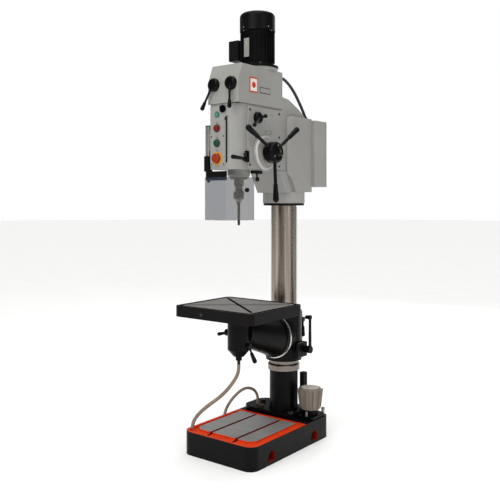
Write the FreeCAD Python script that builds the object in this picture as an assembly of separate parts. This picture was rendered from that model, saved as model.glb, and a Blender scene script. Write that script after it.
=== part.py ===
import FreeCAD, Part
import math
import os

# Column-type drill press. Millimetres, +Z up, column axis at x = y = 0,
# floor at z = 0, operator at -Y, feed handle on the +X side.

V = FreeCAD.Vector

# Driving dimensions
BASE_X = 195.0            # half width of the base
BASE_FRONT = -500.0
BASE_REAR = 92.0
BASE_H = 102.0
GUTTER_DEPTH = 8.0
COLUMN_R = 60.0
COLUMN_TOP = 1495.0
FOOT_TOP = 310.0
RING_TOP = 357.0
SPINDLE_Y = -345.0
FIT = 0.05                # radial clearance of a running fit
TOOTH_MODULE = 2.0
RACK_TIP_X = 69.3
LIFT_TEETH = 12
CRANK_Y = 32.0
CRANK_Z = 409.0
CRANK_ARM = 152.0
BRACKET_R = 86.0
BRACKET_LOW = 357.5
BRACKET_HIGH = 590.0
TILT_Z = 478.0
TILT_FACE = -92.0         # joint face between bracket and arm
STEM_R = 50.0
TABLE_X = 215.0
TABLE_FRONT = -533.0
TABLE_REAR = -158.0
TABLE_LOW = 606.0
TABLE_TOP = 653.0
HEAD_LOW = 1247.0
HEAD_TOP = 1530.5
HEAD_X = 77.0
HEAD_FRONT = -450.0
REAR_X = 100.0
COLLAR_LOW = 1101.0
COVER_X = 84.0
COVER_FRONT = -457.0
COVER_REAR = -127.0
COVER_TOP = 1700.0
MOTOR_Y = -208.0
MOTOR_BASE = 1712.0
QUILL_R = 37.0
QUILL_LOW = 1177.0
QUILL_TOP = 1462.0
FEED_TEETH = 36
FEED_Z = 1323.0
SELECTOR_Y = -322.0
SELECTOR_Z = 1474.0
PANEL_X = -33.0
GUARD_X = -92.0
GUARD_Y = -441.0
PUMP_X = 143.0
PUMP_Y = 12.0
DRIVE_MODULE = 2.5
MOTOR_TEETH = 18
LAY_LARGE = 40
LAY_SMALL = 20
DRIVE_TEETH = 36

LIFT_PITCH_X = RACK_TIP_X - TOOTH_MODULE
LIFT_R = TOOTH_MODULE * LIFT_TEETH / 2
LIFT_X = LIFT_PITCH_X + LIFT_R
FEED_R = TOOTH_MODULE * FEED_TEETH / 2
FEED_Y = SPINDLE_Y + QUILL_R - TOOTH_MODULE + FEED_R
AXES = {"x": V(1, 0, 0), "y": V(0, 1, 0), "z": V(0, 0, 1)}


# Shape helpers

def box(x0, x1, y0, y1, z0, z1):
    return Part.makeBox(x1 - x0, y1 - y0, z1 - z0, V(x0, y0, z0))


def cyl(x, y, z, radius, length, axis="z"):
    return Part.makeCylinder(radius, length, V(x, y, z), AXES[axis])


def cone(x, y, z, r0, r1, length, axis="z"):
    return Part.makeCone(r0, r1, length, V(x, y, z), AXES[axis])


def rod(start, end, r0, r1=None):
    way = V(*end) - V(*start)
    if r1 is None or r1 == r0:
        return Part.makeCylinder(r0, way.Length, V(*start), way)
    return Part.makeCone(r0, r1, way.Length, V(*start), way)


def ball(x, y, z, radius):
    return Part.makeSphere(radius, V(x, y, z))


def polygon_prism(points, way):
    corners = [V(*p) for p in points]
    face = Part.Face(Part.makePolygon(corners + corners[:1]))
    return face.extrude(V(*way))


def yz_prism(points, x0, x1):
    return polygon_prism([(x0, y, z) for y, z in points], (x1 - x0, 0, 0))


def round_uprights(shape, radius, chosen=lambda edge: True):
    edges = [e for e in shape.Edges
             if len(e.Vertexes) == 2 and chosen(e)
             and abs(e.tangentAt(e.FirstParameter).z) > 0.999]
    return shape.makeFillet(radius, edges)


def rounded_box(x0, x1, y0, y1, z0, z1, radius):
    return round_uprights(box(x0, x1, y0, y1, z0, z1), radius)


def soften(shape, radius):
    """Round every edge of a simple solid."""
    return shape.makeFillet(radius, shape.Edges)


def fuse(*pieces):
    whole = pieces[0].fuse(list(pieces[1:])) if len(pieces) > 1 else pieces[0]
    return whole.removeSplitter()


def group(*pieces):
    return Part.makeCompound(list(pieces))


def ring(x, y, z, r_in, r_out, length, axis="z"):
    return cyl(x, y, z, r_out, length, axis).cut(cyl(x, y, z, r_in, length, axis))


def hex_bolt(x, y, z, flats, height):
    """Hexagon head with its washer, standing on z."""
    radius = flats / math.sqrt(3)
    points = [(x + radius * math.cos(math.radians(a)),
               y + radius * math.sin(math.radians(a)), z + 2) for a in range(0, 360, 60)]
    return fuse(cyl(x, y, z, radius * 1.15, 2), polygon_prism(points, (0, 0, height)))


def spur_gear(teeth, module, width, phase=0.0):
    """Gear about +Z from z = 0, a tooth centred at the phase angle in degrees."""
    pitch_r = teeth * module / 2
    tip_r, root_r = pitch_r + 0.85 * module, pitch_r - 1.2 * module
    points = []
    for tooth in range(teeth):
        centre = math.radians(phase) + 2 * math.pi * tooth / teeth
        half_pitch = math.pi / teeth
        for radius, share in ((root_r, -0.56), (tip_r, -0.2), (tip_r, 0.2), (root_r, 0.56)):
            angle = centre + share * half_pitch
            points.append((radius * math.cos(angle), radius * math.sin(angle), 0))
    return polygon_prism(points, (0, 0, width))


def rack_profile(count, start, pitch_line, back):
    """Rack outline as (depth, along) pairs; a tooth is centred at start."""
    pitch = math.pi * TOOTH_MODULE
    root = pitch_line - 1.2 * TOOTH_MODULE
    tip = pitch_line + 0.85 * TOOTH_MODULE
    points = [(back, start - pitch / 2), (root, start - pitch / 2)]
    for tooth in range(count):
        centre = start + tooth * pitch
        points += [(root, centre - 0.31 * pitch), (tip, centre - 0.11 * pitch),
                   (tip, centre + 0.11 * pitch), (root, centre + 0.31 * pitch)]
    end = start + (count - 0.5) * pitch
    return points + [(root, end), (back, end)]


def turned(shape, axis, degrees, centre=(0, 0, 0)):
    copy = shape.copy()
    copy.rotate(V(*centre), AXES[axis], degrees)
    return copy


def moved(shape, x, y, z):
    copy = shape.copy()
    copy.translate(V(x, y, z))
    return copy


def cord(points, radius, label):
    """Tube of straight runs joined by tangent arcs."""
    path = [V(*p) for p in points]
    edges = []
    here = path[0]
    radii = []
    length = 0.0
    for before, corner, after in zip(path, path[1:], path[2:]):
        way_in, way_out = corner - before, after - corner
        turn = way_in.getAngle(way_out)
        arc_r = 0.45 * min(way_in.Length, way_out.Length) / math.tan(turn / 2)
        back = arc_r * math.tan(turn / 2)
        unit_in, unit_out = way_in.normalize(), way_out.normalize()
        start, end = corner - unit_in * back, corner + unit_out * back
        inward = (unit_out - unit_in).normalize()
        middle = corner + inward * (arc_r / math.cos(turn / 2) - arc_r)
        edges += [Part.LineSegment(here, start).toShape(),
                  Part.Arc(start, middle, end).toShape()]
        radii.append(round(arc_r, 1))
        length += (start - here).Length + arc_r * turn
        here = end
    edges.append(Part.LineSegment(here, path[-1]).toShape())
    length += (path[-1] - here).Length
    spine = Part.Wire(edges)
    circle = Part.Circle(path[0], path[1] - path[0], radius).toShape()
    tube = spine.makePipeShell([Part.Wire([circle])], True, True)
    print(label, "length", round(length, 1), "radii", radii,
          "volume ratio", round(tube.Volume / (math.pi * radius ** 2 * length), 4))
    return tube


# Base, column and foot

def base_casting():
    body = box(-BASE_X, BASE_X, BASE_FRONT, BASE_REAR, 0, BASE_H)
    body = round_uprights(body, 45, lambda e: e.CenterOfMass.y < 0)
    body = round_uprights(body, 28, lambda e: e.CenterOfMass.y > BASE_REAR - 1)
    hollow = box(-BASE_X + 17, BASE_X - 17, BASE_FRONT + 18, BASE_REAR - 17, 0, 66)
    body = body.cut(hollow.cut(box(-70, 70, -50, BASE_REAR, 0, 66)))
    gutter = rounded_box(-BASE_X + 13, BASE_X - 13, BASE_FRONT + 13, -100,
                         BASE_H - GUTTER_DEPTH, BASE_H, 34)
    pad = box(-169, 150, -443, -118, BASE_H - GUTTER_DEPTH, BASE_H)
    front_corners = [e for e in pad.Edges if len(e.Vertexes) == 2
                     and abs(e.tangentAt(e.FirstParameter).z) > 0.999 and e.CenterOfMass.y < -400]
    pad = pad.makeChamfer(26, front_corners)
    body = body.cut(gutter.cut(pad))
    for x in (-75, 65):
        body = body.cut(box(x - 7, x + 7, BASE_FRONT + 6, -104, BASE_H - 22, BASE_H))
        body = body.cut(box(x - 13, x + 13, -468, -104, BASE_H - 24, BASE_H - 15))
    return add_anchor_feet(body)


def add_anchor_feet(body):
    for side in (-1, 1):
        for y in (-365, -35):
            inner, outer = sorted((side * 140, side * (BASE_X - 10)))
            block = box(inner, outer, y - 34, y + 34, 0, 66)
            body = body.fuse(block)
            near, far = sorted((side * 150, side * (BASE_X + 5)))
            arch = fuse(box(near, far, y - 26, y + 26, 14, 36), cyl(near, y, 32, 26, far - near, "x"))
            body = body.cut(arch.common(box(near, far, y - 26, y + 26, 14, 60)))
            body = body.cut(cyl(side * 172, y, -1, 7, 16))
    return body.removeSplitter()


def column_foot():
    plate = rounded_box(-188, 100, -88, 86, BASE_H, 122, 50)
    tube = fuse(cyl(0, 0, 122, 71, 10), cyl(0, 0, 132, 67.5, FOOT_TOP - 132))
    bore = cyl(0, 0, BASE_H, COLUMN_R + FIT, 300)
    return fuse(plate, tube).cut(bore)


def fixing_screws():
    """Foot bolts and the screws of the feed box cover."""
    bolts = [hex_bolt(x, y, 122, 24, 10) for x, y in [(-132, 14), (-84, 66), (84, -66), (-84, -64)]]
    places = [(-372, 1506), (-156, 1506), (-372, 1268), (-156, 1268), (-330, 1412), (-156, 1400)]
    screws = [cyl(COVER_X - 1, y, z, 4.5, 3, "x") for y, z in places]
    return group(*bolts, *screws)


def column():
    return ring(0, 0, BASE_H, COLUMN_R - 13, COLUMN_R, COLUMN_TOP - BASE_H)


def rack_ring_lower():
    band = cyl(0, 0, FOOT_TOP, 76.4, 30)
    band = band.makeFillet(8, [e for e in band.Edges if e.CenterOfMass.z > FOOT_TOP + 29])
    body = fuse(band, cyl(0, 0, FOOT_TOP + 29, 66, RING_TOP - FOOT_TOP - 29))
    return body.cut(cyl(0, 0, FOOT_TOP, COLUMN_R + FIT, 60))


def rack_ring_upper():
    body = ring(0, 0, COLLAR_LOW - 11, COLUMN_R + FIT, 97, 11)
    return body


def pump_mount():
    plate = rounded_box(104, 190, -46, 72, BASE_H, 116, 16)
    neck = cyl(PUMP_X, PUMP_Y, 116, 36, 18)
    flange = cyl(PUMP_X, PUMP_Y, 134, 38, 6)
    return fuse(plate, neck, flange)


def pump_can():
    body = fuse(cone(PUMP_X, PUMP_Y, 140, 43, 51, 92), cone(PUMP_X, PUMP_Y, 232, 51, 46, 6))
    envelope = cone(PUMP_X, PUMP_Y, 146, 50, 60, 86)
    ribs = []
    for angle in range(0, 360, 36):
        rib = rounded_box(PUMP_X + 38, PUMP_X + 62, PUMP_Y - 6, PUMP_Y + 6, 146, 232, 4)
        ribs.append(turned(rib, "z", angle, (PUMP_X, PUMP_Y, 0)).common(envelope))
    return fuse(body, *ribs)


def pump_switch_box():
    lid = box(65, 87, 70, 72, 130, 286)
    return fuse(rounded_box(64, 88, 40, 70, 122, 292, 3), lid)


# Hoses and the motor cable

RETURN_ROUTE = [(-133, -30, 130), (-133, -30, 152), (-137, -37, 178), (-147, -56, 200),
                (-163, -89, 208), (-181, -124, 190), (-201, -156, 154), (-215, -178, 112),
                (-218, -186, 76), (-211, -190, 52)]
DRAIN_ROUTE = [(0, SPINDLE_Y, 392), (0, SPINDLE_Y, 366), (-7, -349, 338), (-22, -361, 308),
               (-43, -377, 274), (-70, -396, 243), (-100, -418, 216), (-130, -440, 187),
               (-152, -456, 158), (-165, -465, 130), (-167, -466, 106)]
CABLE_ROUTE = [(50, -115, 1684), (50, -92, 1684), (51, -62, 1677), (51, -30, 1661),
               (52, 2, 1638), (52, 34, 1608), (52, 64, 1575), (50, 92, 1546), (50, 112, 1518)]


def hose_unions():
    """Tank nipple, elbow in the base's left wall, pump outlets and the cable's two glands."""
    nipple = fuse(cyl(-133, -30, 122, 10, 3), cyl(-133, -30, 125, 7.5, 5))
    elbow = fuse(box(-206, -195, -199, -181, 26, 44), rod((-206, -192.86, 34.86), (-211, -190, 52), 7))
    outlet = fuse(cyl(152, -34, 116, 6, 20), hex_bolt(152, -34, 116, 13, 7))
    filler = fuse(cyl(182, 62, 116, 7, 24), cyl(182, 62, 130, 9, 8))
    upper = fuse(cyl(50, COVER_REAR, 1684, 13, 5, "y"), cyl(50, COVER_REAR + 5, 1684, 10, 7, "y"))
    lower = fuse(rod((50, 129.1, 1494), (50, 123.4, 1502), 13), rod((50, 124, 1501.2), (50, 112, 1518), 10))
    lower = lower.cut(box(20, 80, 90, 150, 1480, 1498))
    return group(nipple, elbow, outlet, filler, upper, lower)


def return_hose():
    return cord(RETURN_ROUTE, 6.8, "return_hose")


def drain_hose():
    return cord(DRAIN_ROUTE, 7.8, "drain_hose")


def motor_cable():
    return cord(CABLE_ROUTE, 7.0, "motor_cable")


# Table carriage

def table_rack():
    start = CRANK_Z - 9 * math.pi * TOOTH_MODULE
    profile = rack_profile(117, start, LIFT_PITCH_X, 50)
    bar = polygon_prism([(x, -13, z) for x, z in profile], (0, 26, 0))
    bar = bar.cut(cyl(0, 0, 300, COLUMN_R + 0.3, 900))
    return bar.common(box(50, 80, -13, 13, RING_TOP + 0.3, COLLAR_LOW - 11.3))


def table_bracket():
    hub = cyl(0, 0, BRACKET_LOW, BRACKET_R, BRACKET_HIGH - BRACKET_LOW)
    boss = cyl(0, TILT_FACE, TILT_Z, 98, 56, "y")
    lugs = rounded_box(-34, 34, 60, 116, 392, 572, 8)
    housing = soften(box(58, 104, -36, 50, 374, 444), 6)
    nose = cyl(100, CRANK_Y, CRANK_Z, 17, 15, "x")
    body = fuse(hub, boss, lugs, housing, nose)
    body = body.cut(cyl(0, 0, 300, COLUMN_R + 0.08, 400))
    body = body.cut(box(-2.5, 2.5, 55, 120, 340, 600))
    body = body.cut(box(50, RACK_TIP_X + 0.5, -13.4, 13.4, 340, 600))
    body = body.cut(cyl(0, TILT_FACE - 1, TILT_Z, 30 + FIT, 17, "y"))
    return cut_gear_cavities(body)


def cut_gear_cavities(body):
    body = body.cut(cyl(LIFT_X, -15, CRANK_Z, 17.5, 46, "y"))
    body = body.cut(cyl(LIFT_X, -33, CRANK_Z, 7 + FIT, 20, "y"))
    body = body.cut(cyl(LIFT_X, CRANK_Y, CRANK_Z, 9.5, 19, "x"))
    body = body.cut(cyl(LIFT_X, CRANK_Y, CRANK_Z, 6 + FIT, 45, "x"))
    for z in (430, 536):
        body = body.cut(cyl(-40, 98, z, 8.5, 80, "x"))
    return body


def clamp_bolts():
    bolts = []
    for z in (430, 536):
        head = turned(hex_bolt(0, 0, 0, 24, 9), "y", -90)
        bolts.append(fuse(cyl(-34, 98, z, 8, 68.1, "x"), moved(head, -34, 98, z)))
    return group(*bolts)


def bracket_clamp_lever():
    """Two levers on the ends of the clamp bolts."""
    hub = cyl(34.4, 98, 536, 12, 16, "x")
    arm = rod((44, 98, 536), (50, 92, 470), 5)
    grip = rod((47, 95, 503), (51, 91, 462), 8, 9.5)
    return fuse(hub, arm, grip, ball(51, 91, 462, 9.5))


def tilt_scale_ring():
    """Graduated band round the bracket's boss, notched where the hub comes through."""
    band = ring(0, TILT_FACE, TILT_Z, 98 + FIT, 104, 9, "y")
    return band.cut(cyl(0, 0, 300, BRACKET_R + FIT, 400))


def lift_pinion():
    gear = moved(turned(spur_gear(LIFT_TEETH, TOOTH_MODULE, 25, 0), "x", 90), LIFT_X, 12.5, CRANK_Z)
    gear = turned(gear, "y", 180.0 / LIFT_TEETH, (LIFT_X, 0, CRANK_Z))
    shaft = cyl(LIFT_X, -32.5, CRANK_Z, 7, 56, "y")
    wheel = fuse(cyl(LIFT_X, 19, CRANK_Z, 15.5, 5, "y"), cone(LIFT_X, 24, CRANK_Z, 15.5, 7.5, 4, "y"))
    return fuse(gear, shaft, wheel)


def crank():
    bevel = cone(LIFT_X + 8, CRANK_Y, CRANK_Z, 3.5, 7.5, 8, "x")
    shaft = cyl(LIFT_X + 16, CRANK_Y, CRANK_Z, 6, 36, "x")
    hub = cyl(116, CRANK_Y, CRANK_Z, 17, 19, "x")
    arm = rounded_arm(125.5, 132.5)
    eye = cyl(122.4, CRANK_Y, CRANK_Z + CRANK_ARM, 11, 11.6, "x")
    pin = cyl(104.5, CRANK_Y, CRANK_Z + CRANK_ARM, 4, 21, "x")
    return fuse(bevel, shaft, hub, arm, eye, pin)


def rounded_arm(x0, x1):
    """Flat bar of the crank, with a slight taper towards the grip."""
    low, high = CRANK_Z, CRANK_Z + CRANK_ARM
    outline = [(CRANK_Y - 9, low), (CRANK_Y + 9, low), (CRANK_Y + 6.5, high), (CRANK_Y - 6.5, high)]
    return yz_prism(outline, x0, x1)


def crank_grip():
    z = CRANK_Z + CRANK_ARM
    body = soften(cyl(105, CRANK_Y, z, 9, 17, "x"), 2.5)
    return body.cut(cyl(100, CRANK_Y, z, 4 + FIT, 30, "x"))


def table_arm():
    def taper(wall):
        flange = Part.makeCircle(94 - wall, V(0, TILT_FACE - 14, TILT_Z), V(0, -1, 0))
        neck = Part.makeCircle(62 - wall, V(0, SPINDLE_Y + 17, 531), V(0, -1, 0))
        return Part.makeLoft([Part.Wire(flange), Part.Wire(neck)], True, True)

    arm = taper(0).cut(taper(13).cut(box(-90, 90, -360, -300, 400, 700)))
    disc = cyl(0, TILT_FACE - 14.3, TILT_Z, 98, 14, "y")
    spigot = cyl(0, TILT_FACE - 1, TILT_Z, 30, 16, "y")
    stem = fuse(cyl(0, SPINDLE_Y, 457, STEM_R, 141), cone(0, SPINDLE_Y, 427, 24, STEM_R, 30),
                cyl(0, SPINDLE_Y, 409, 14, 18), cyl(0, SPINDLE_Y, 392, 7, 18),
                cyl(0, SPINDLE_Y, 590, 62, 15.6))
    body = fuse(disc, spigot, arm, stem)
    return body.cut(cyl(0, SPINDLE_Y, 520, 28 + FIT, 100))


def clamp_lever(hub_at, way, grip_end, hub_r):
    """A short hub along X with a ball-ended lever."""
    x, y, z = hub_at
    hub = cyl(min(x, x + way), y, z, hub_r, abs(way), "x")
    root = (x + way * 0.6, y, z)
    middle = tuple(0.45 * a + 0.55 * b for a, b in zip(grip_end, root))
    return fuse(hub, rod(root, grip_end, 4.5), rod(middle, grip_end, 6.5, 8.5), ball(*grip_end, 8.5))


def table_clamp_lever():
    lever = clamp_lever((-STEM_R - 0.4, SPINDLE_Y, 524), -22, (-108, -352, 513), 15)
    return lever


def tilt_lock_lever():
    hub = cyl(STEM_R + 0.4, SPINDLE_Y, 478, 12, 15, "x")
    grip = rod((56, -325, 442), (57, -304, 405), 8, 10.5)
    return fuse(hub, rod((57, SPINDLE_Y, 478), (56, -325, 442), 5), grip, ball(57, -304, 405, 10.5))


def table():
    body = rounded_box(-TABLE_X, TABLE_X, TABLE_FRONT, TABLE_REAR, TABLE_LOW, TABLE_TOP, 26)
    pocket = rounded_box(-TABLE_X + 13, TABLE_X - 13, TABLE_FRONT + 13, TABLE_REAR - 13,
                         TABLE_LOW, TABLE_LOW + 17, 16)
    body = body.cut(pocket.cut(cyl(0, SPINDLE_Y, TABLE_LOW, 64, 20)))
    outer = rounded_box(-TABLE_X + 11, TABLE_X - 11, TABLE_FRONT + 11, TABLE_REAR - 11,
                        TABLE_TOP - 11, TABLE_TOP, 18)
    inner = rounded_box(-TABLE_X + 25, TABLE_X - 25, TABLE_FRONT + 25, TABLE_REAR - 25,
                        TABLE_TOP - 11, TABLE_TOP, 12)
    body = body.cut(outer.cut(inner))
    body = cut_cross_slots(body)
    spigot = cyl(0, SPINDLE_Y, 524, 28, 84)
    return fuse(body, spigot).cut(cyl(0, SPINDLE_Y, 520, 12, 140))


def cut_cross_slots(body):
    """Two T-slots from corner to corner of the machined face."""
    centre = (0, SPINDLE_Y, 0)
    lean = math.degrees(math.atan2(140, 180))
    for angle in (lean, -lean):
        neck = box(-226, 226, SPINDLE_Y - 7, SPINDLE_Y + 7, TABLE_TOP - 19, TABLE_TOP)
        tee = box(-226, 226, SPINDLE_Y - 13, SPINDLE_Y + 13, TABLE_TOP - 22, TABLE_TOP - 13)
        body = body.cut(turned(fuse(neck, tee), "z", angle, centre))
    return body


# Head

def head_casting():
    front = box(-HEAD_X, HEAD_X, HEAD_FRONT, -60, HEAD_LOW, HEAD_TOP)
    front = round_uprights(front, 60, lambda e: e.CenterOfMass.y < -400 and e.CenterOfMass.x > 0)
    front = round_uprights(front, 8, lambda e: e.CenterOfMass.y < -400 and e.CenterOfMass.x < 0)
    rear = box(-REAR_X, REAR_X, -95, BASE_REAR, 1154, 1505)
    rear = rear.makeChamfer(14, [e for e in rear.Edges if e.CenterOfMass.y < -90])
    crown = yz_prism([(COVER_REAR - 40, 1500), (COVER_REAR - 40, HEAD_TOP), (COVER_REAR + 1, HEAD_TOP),
                      (COVER_REAR + 1, 1590), (-71, 1583), (19, 1543), (78, 1505), (78, 1490)],
                     -HEAD_X, HEAD_X)
    rear = rear.cut(yz_prism([(-120, 1240), (-95, 1240), (-38, 1153), (-120, 1153)], -120, 120))
    web = yz_prism([(-158, HEAD_LOW + 1), (-100, 1150), (-30, 1150), (-30, HEAD_LOW + 1)], -82, 82)
    collar = cyl(0, 0, COLLAR_LOW, 100, 54)
    body = fuse(front, rear, crown, web, collar)
    inside = box(-HEAD_X + 11, HEAD_X - 11, HEAD_FRONT + 12, -90, HEAD_LOW + 15, HEAD_TOP + 1)
    inside = round_uprights(inside, 49, lambda e: e.CenterOfMass.y < -400 and e.CenterOfMass.x > 0)
    body = body.cut(inside.common(box(-90, 90, -450, COVER_REAR - 40, 1200, 1540))
                    .fuse(inside.common(box(-90, 90, -450, -90, 1200, 1490))))
    return finish_head(body)


def finish_head(body):
    guide = fuse(cyl(0, SPINDLE_Y, HEAD_LOW, 52, 190), cyl(0, SPINDLE_Y, 1225, 50, 24),
                 cone(0, SPINDLE_Y, 1212, 43, 50, 13))
    body = body.fuse(guide)
    body = body.cut(cyl(0, SPINDLE_Y, 1200, QUILL_R + FIT, 260))
    body = body.cut(cyl(0, 0, 1080, COLUMN_R + FIT, COLUMN_TOP + 1 - 1080))
    body = body.cut(box(-16, 16, SPINDLE_Y + 30, FEED_Y, FEED_Z - 42, FEED_Z + 42))
    body = body.cut(cyl(-90, FEED_Y, FEED_Z, 14 + FIT, 180, "x"))
    body = body.cut(box(13, 21, -460, -370, 1276, 1476))
    body = body.cut(cyl(60, SELECTOR_Y, SELECTOR_Z, 8 + FIT, 30, "x"))
    body = body.cut(cyl(55, -409, 1291, 5 + FIT, 40, "x"))
    for z in (1361, 1425):
        body = body.cut(cyl(PANEL_X, -460, z, 10, 30, "y"))
    body = body.cut(cyl(PANEL_X, -460, 1295, 12, 30, "y"))
    body = body.cut(cyl(PANEL_X, -460, 1484, 8, 30, "y"))
    body = body.cut(cyl(-2, -460, 1507, 6, 30, "y"))
    return body.removeSplitter()


def head_cover():
    def profile(inset):
        return [(COVER_FRONT + inset, HEAD_TOP), (COVER_FRONT + inset, 1626),
                (-428 + inset, COVER_TOP - inset), (COVER_REAR - inset, COVER_TOP - inset),
                (COVER_REAR - inset, HEAD_TOP)]
    shell = yz_prism(profile(0), -COVER_X, COVER_X)
    upper = [e for e in shell.Edges if e.CenterOfMass.z > HEAD_TOP + 2
             and abs(e.tangentAt(e.FirstParameter).x) < 0.5]
    shell = shell.makeFillet(5, upper)
    pad = cyl(0, MOTOR_Y, COVER_TOP - 2, 92, MOTOR_BASE - COVER_TOP + 2)
    body = fuse(shell, pad).cut(yz_prism(profile(4.5), -COVER_X + 4.5, COVER_X - 4.5))
    body = body.cut(cyl(0, MOTOR_Y, COVER_TOP - 20, 40, 60))
    for x in (-45, 50):
        body = body.cut(cyl(x, -470, 1612, 8 + FIT, 30, "y"))
    return body


def feed_box_cover():
    plate = box(HEAD_X, COVER_X - 1, -385, -141, 1252, 1524)
    plate = plate.makeChamfer(2.5, [e for e in plate.Edges if e.CenterOfMass.x > COVER_X - 1.5])
    plate = plate.cut(cyl(70, FEED_Y, FEED_Z, 14 + FIT, 30, "x"))
    return plate.cut(cyl(70, SELECTOR_Y, SELECTOR_Z, 8 + FIT, 30, "x"))


def control_plate():
    plate = box(-72, 10, HEAD_FRONT - 3, HEAD_FRONT, 1262, 1522)
    for z, radius in ((1295, 11 + FIT), (1361, 8 + FIT), (1425, 8 + FIT), (1484, 7 + FIT)):
        plate = plate.cut(cyl(PANEL_X, -460, z, radius, 20, "y"))
    return plate.cut(cyl(-2, -460, 1507, 5 + FIT, 20, "y"))


def panel_button(z, radius, stem, length):
    """Button whose head stands off the panel by its travel."""
    face = HEAD_FRONT - 3
    head = cyl(PANEL_X, face - 4 - length, z, radius, length, "y")
    rim = [e for e in head.Edges if e.CenterOfMass.y < face - 4 - length + 0.1]
    return fuse(head.makeFillet(length * 0.35, rim), cyl(PANEL_X, face - 4.5, z, stem, 14, "y"))


def start_button():
    return panel_button(1361, 13.5, 8, 9)


def stop_button():
    return panel_button(1425, 13.5, 8, 9)


def estop_button():
    return panel_button(1295, 20.5, 11, 14)


def signal_lamp():
    face = HEAD_FRONT - 3
    lens = cyl(PANEL_X, face - 8, 1484, 9.5, 8, "y")
    rim = [e for e in lens.Edges if e.CenterOfMass.y < face - 7.9]
    return fuse(lens.makeFillet(4, rim), cyl(PANEL_X, face - 1, 1484, 7, 8, "y"))


def power_switch_knob():
    face = HEAD_FRONT - 3
    skirt = cyl(-2, face - 6.4, 1507, 13, 6, "y")
    bar = box(-6, 2, face - 17, face - 6, 1496, 1518)
    return fuse(skirt, bar, cyl(-2, face - 7, 1507, 5, 15, "y"))


def speed_lever(x, tip_x):
    """Gear-change lever on the cover's front."""
    hub = cyl(x, COVER_FRONT - 18, 1612, 29, 17.6, "y")
    hub = hub.makeFillet(10, [e for e in hub.Edges if e.CenterOfMass.y < COVER_FRONT - 17.9])
    shaft = cyl(x, COVER_FRONT - 1, 1612, 8, 14, "y")
    start = (x, COVER_FRONT - 12, 1612)
    tip = (tip_x, COVER_FRONT - 26, 1512)
    way = V(*tip) - V(*start)
    near = V(*start) + way * 0.74
    grip = rod(tuple(near), tip, 6.5, 9.5)
    return fuse(hub, shaft, rod(start, tip, 5), grip, ball(*tip, 9.5))


def speed_lever_left():
    return speed_lever(-45, -92)


def speed_lever_right():
    return speed_lever(50, 60)


def feed_selector_lever():
    hub = cyl(COVER_X - 0.6, SELECTOR_Y, SELECTOR_Z, 25, 20, "x")
    hub = hub.makeFillet(10, [e for e in hub.Edges if e.CenterOfMass.x > COVER_X + 19])
    shaft = cyl(64, SELECTOR_Y, SELECTOR_Z, 8, 22, "x")
    tip = (118, SELECTOR_Y - 62, SELECTOR_Z - 38)
    knob = (108, SELECTOR_Y + 30, SELECTOR_Z + 9)
    centre = (98, SELECTOR_Y, SELECTOR_Z)
    near = tuple(0.55 * t + 0.45 * c for t, c in zip(tip, centre))
    return fuse(hub, shaft, rod(centre, tip, 5), rod(near, tip, 6.5, 9), ball(*tip, 9),
                rod(centre, knob, 6), ball(*knob, 9))


def quill_lock_lever():
    hub = fuse(cyl(77.6, -409, 1291, 9, 16, "x"), cyl(62, -409, 1291, 5, 20, "x"))
    pin = rod((88, -409, 1291), (88, -417, 1316), 4)
    bar = rod((87, -409, 1291), (87, -440, 1293), 4.5)
    grip = fuse(rod((87, -438, 1293), (87, -492, 1296), 7, 9.5), ball(87, -492, 1296, 9.5))
    return fuse(hub, pin, bar, grip)


def electrical_cabinet():
    shell = rounded_box(-120, 120, BASE_REAR, 190, 1180, 1498, 4)
    return shell.cut(box(-118, 118, BASE_REAR + 2, 191, 1182, 1496))


def cabinet_door():
    door = rounded_box(-120, 120, 190.4, 196, 1180, 1498, 1.5)
    knuckles = [cyl(-123.2, 190, z, 3, 30, "z") for z in (1220, 1420)]
    leaf = [box(-121, -118, 191, 194, z, z + 30) for z in (1220, 1420)]
    lock = fuse(cyl(104, 196, 1339, 9, 3, "y"), box(102, 106, 199, 204, 1331, 1347))
    return fuse(door, *knuckles, *leaf, lock)


# Motor and gear train

def lay_place():
    """Layshaft axis, where both its gears mesh."""
    to_motor = DRIVE_MODULE * (MOTOR_TEETH + LAY_LARGE) / 2
    to_spindle = DRIVE_MODULE * (LAY_SMALL + DRIVE_TEETH) / 2
    span = MOTOR_Y - SPINDLE_Y
    along = (to_motor ** 2 - to_spindle ** 2 + span ** 2) / (2 * span)
    aside = math.sqrt(to_motor ** 2 - along ** 2)
    return -aside, MOTOR_Y - along


def mesh_phase(own_teeth, own_at, mate_teeth, mate_at, mate_phase):
    """Phase that puts a tooth gap of one gear on a tooth of its mate."""
    line = math.degrees(math.atan2(own_at[1] - mate_at[1], own_at[0] - mate_at[0]))
    offset = (line - mate_phase) / (360.0 / mate_teeth)
    return line + 180 + (offset + 0.5) * 360.0 / own_teeth


def motor_housing():
    flange = cyl(0, MOTOR_Y, MOTOR_BASE, 95, 10)
    spigot = cyl(0, MOTOR_Y, MOTOR_BASE - 8, 40 - FIT, 10)
    neck = cone(0, MOTOR_Y, MOTOR_BASE + 10, 80, 72, 12)
    barrel = cyl(0, MOTOR_Y, MOTOR_BASE + 22, 71, 1880 - MOTOR_BASE - 22)
    fins = [turned(box(68, 79, MOTOR_Y - 1.3, MOTOR_Y + 1.3, MOTOR_BASE + 26, 1874),
                   "z", a, (0, MOTOR_Y, 0)) for a in range(0, 360, 12) if not 160 < a < 200]
    seat = box(-78, -60, MOTOR_Y - 34, MOTOR_Y + 34, 1762, 1846)
    body = fuse(flange, spigot, neck, barrel, seat, *fins)
    return body.cut(cyl(0, MOTOR_Y, MOTOR_BASE - 10, 18, 180))


def motor_terminal_box():
    body = soften(box(-136, -78.2, MOTOR_Y - 44, MOTOR_Y + 40, 1756, 1850), 4)
    return body


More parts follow.
